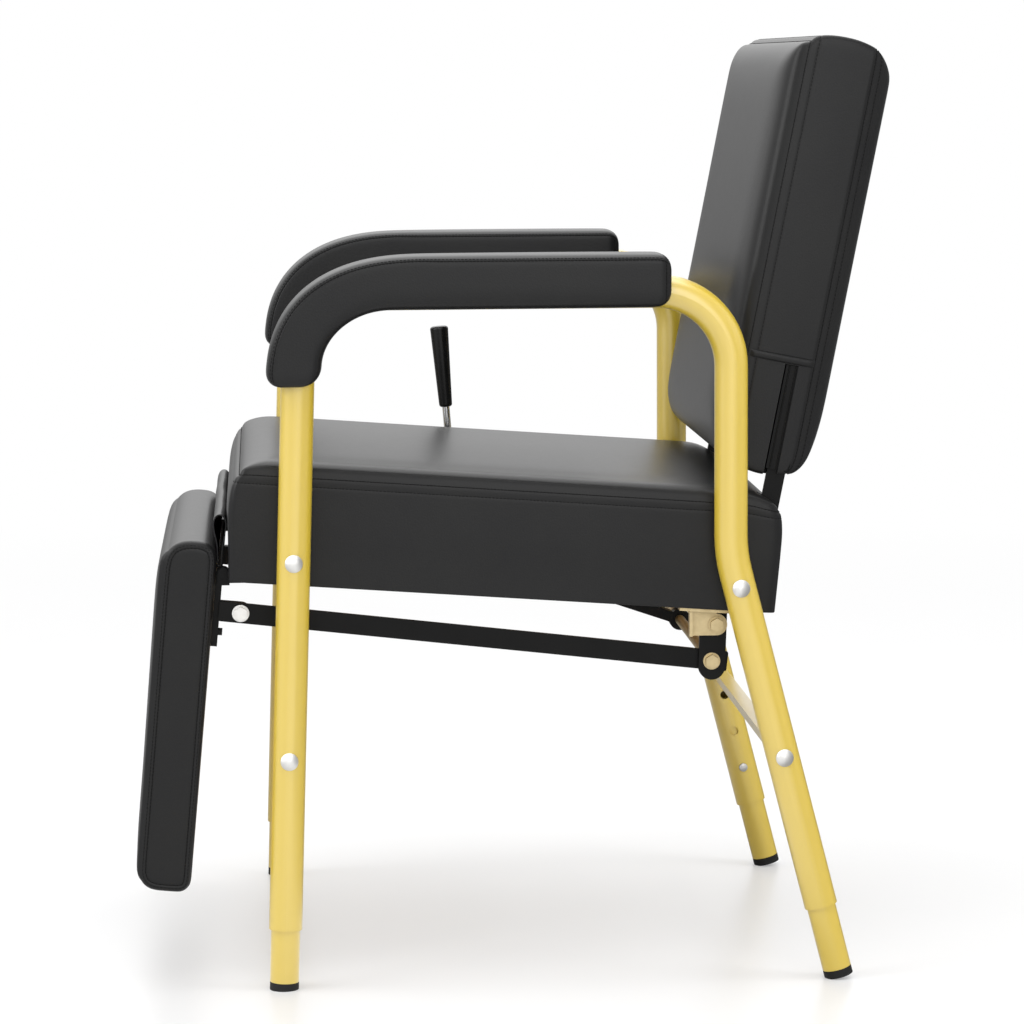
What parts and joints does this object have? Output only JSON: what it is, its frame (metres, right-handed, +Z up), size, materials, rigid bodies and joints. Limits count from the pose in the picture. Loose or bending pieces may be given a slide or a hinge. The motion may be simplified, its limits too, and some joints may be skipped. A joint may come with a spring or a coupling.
{
  "type": "shampoo chair",
  "caption": "Reclining salon chair with bent tube arm loops, padded arms, tilting back linked to a rising legrest, side lock lever and telescoping feet.",
  "frame": {"origin": "centre of the footprint box on the floor", "axes": "+X to the sitter's left, +Y to the rear, +Z up; the chair faces -Y"},
  "size_m": [0.588, 0.7301, 0.9113],
  "materials": {
    "gold_paint": "glossy gold paint on round tube",
    "vinyl": "charcoal vinyl, fine grain, stitched seams",
    "black_steel": "semi-gloss black paint",
    "zinc": "bright zinc plate",
    "chrome": "polished chrome",
    "black_plastic": "glossy black moulded grip",
    "rubber": "black rubber",
    "plywood": "raw plywood, hidden by the upholstery",
    "nylon": "black nylon"
  },
  "bodies": {
    "chair": {"arm_frame_left": "gold_paint", "arm_frame_right": "gold_paint", "arm_pad_left": "vinyl", "arm_pad_right": "vinyl", "front_stretcher": "gold_paint", "rear_stretcher": "gold_paint", "frame_bolts_left": "zinc", "frame_bolts_right": "zinc", "seat_spacers": "nylon", "seat_side_left": "plywood", "seat_side_right": "plywood", "seat_front_panel": "plywood", "seat_rear_panel": "plywood", "seat_deck": "plywood", "seat_cushion": "vinyl", "recline_bracket_left": "zinc", "recline_bracket_right": "zinc", "recline_pivot_left": "zinc", "recline_pivot_right": "zinc", "legrest_ear_left": "black_steel", "legrest_ear_right": "black_steel", "legrest_pin_left": "black_steel", "legrest_pin_right": "black_steel", "lock_clamp": "black_steel"},
    "back": {"back_arm_left": "black_steel", "back_arm_right": "black_steel", "back_sleeve_left": "black_steel", "back_sleeve_right": "black_steel", "back_board": "plywood", "back_cushion": "vinyl", "cross_rod": "zinc", "cross_rod_nut_left": "zinc", "cross_rod_nut_right": "zinc"},
    "link_left": {"link_bar_left": "black_steel"},
    "link_right": {"link_bar_right": "black_steel"},
    "lock_bar": {"lock_bar": "black_steel"},
    "legrest": {"legrest_bracket_left": "black_steel", "legrest_bracket_right": "black_steel", "link_bolt_left": "zinc", "link_bolt_right": "zinc", "legrest_bumpers": "rubber", "legrest_board": "plywood", "legrest_pad": "vinyl", "gap_flap": "vinyl"},
    "lever": {"lever_rod": "chrome", "lever_cam": "black_steel", "lever_grip": "black_plastic"},
    "front_foot_left": {"front_leg_insert_left": "gold_paint", "front_foot_cap_left": "rubber", "front_snap_button_left": "zinc"},
    "front_foot_right": {"front_leg_insert_right": "gold_paint", "front_foot_cap_right": "rubber", "front_snap_button_right": "zinc"},
    "rear_foot_left": {"rear_leg_insert_left": "gold_paint", "rear_foot_cap_left": "rubber", "rear_snap_button_left": "zinc"},
    "rear_foot_right": {"rear_leg_insert_right": "gold_paint", "rear_foot_cap_right": "rubber", "rear_snap_button_right": "zinc"}
  },
  "joints": [
    {"name": "recline", "type": "hinge", "parent": "chair", "child": "back", "pos_m": [0, 0.1985, 0.3434], "axis": [-1, 0, 0], "range_deg": [0, 40]},
    {"name": "legrest_raise", "type": "hinge", "parent": "chair", "child": "legrest", "pos_m": [0, -0.2778, 0.399], "axis": [-1, 0, 0], "range_deg": [0, 34.29], "deforming": ["gap_flap"]},
    {"name": "link_left_pivot", "type": "hinge", "parent": "back", "child": "link_left", "pos_m": [0, 0.1943, 0.3071], "axis": [-1, 0, 0], "range_deg": [-42.18, 0]},
    {"name": "link_right_pivot", "type": "hinge", "parent": "back", "child": "link_right", "pos_m": [0, 0.1943, 0.3071], "axis": [-1, 0, 0], "range_deg": [-42.18, 0]},
    {"name": "lock_bar_pivot", "type": "hinge", "parent": "back", "child": "lock_bar", "pos_m": [0, 0.1943, 0.3071], "axis": [-1, 0, 0], "range_deg": [-40.98, 0]},
    {"name": "lock_lever", "type": "hinge", "parent": "chair", "child": "lever", "pos_m": [0, -0.03, 0.399], "axis": [-1, 0, 0], "range_deg": [0, 25], "stiffness_Nm_per_rad": 1.5},
    {"name": "front_leg_height_left", "type": "slide", "parent": "chair", "child": "front_foot_left", "axis": [0, 0.0337, 0.9994], "range_m": [0, 0.042], "deforming": ["front_snap_button_left"]},
    {"name": "front_leg_height_right", "type": "slide", "parent": "chair", "child": "front_foot_right", "axis": [0, 0.0337, 0.9994], "range_m": [0, 0.042], "deforming": ["front_snap_button_right"]},
    {"name": "rear_leg_height_left", "type": "slide", "parent": "chair", "child": "rear_foot_left", "axis": [0, -0.2478, 0.9688], "range_m": [0, 0.042], "deforming": ["rear_snap_button_left"]},
    {"name": "rear_leg_height_right", "type": "slide", "parent": "chair", "child": "rear_foot_right", "axis": [0, -0.2478, 0.9688], "range_m": [0, 0.042], "deforming": ["rear_snap_button_right"]}
  ],
  "couplings": [
    {"joint": "legrest_raise", "follows": "recline", "ratio": 0.8448},
    {"joint": "link_left_pivot", "follows": "recline", "ratio": -1.042},
    {"joint": "link_right_pivot", "follows": "recline", "ratio": -1.042},
    {"joint": "lock_bar_pivot", "follows": "recline", "ratio": -1.012}
  ]
}
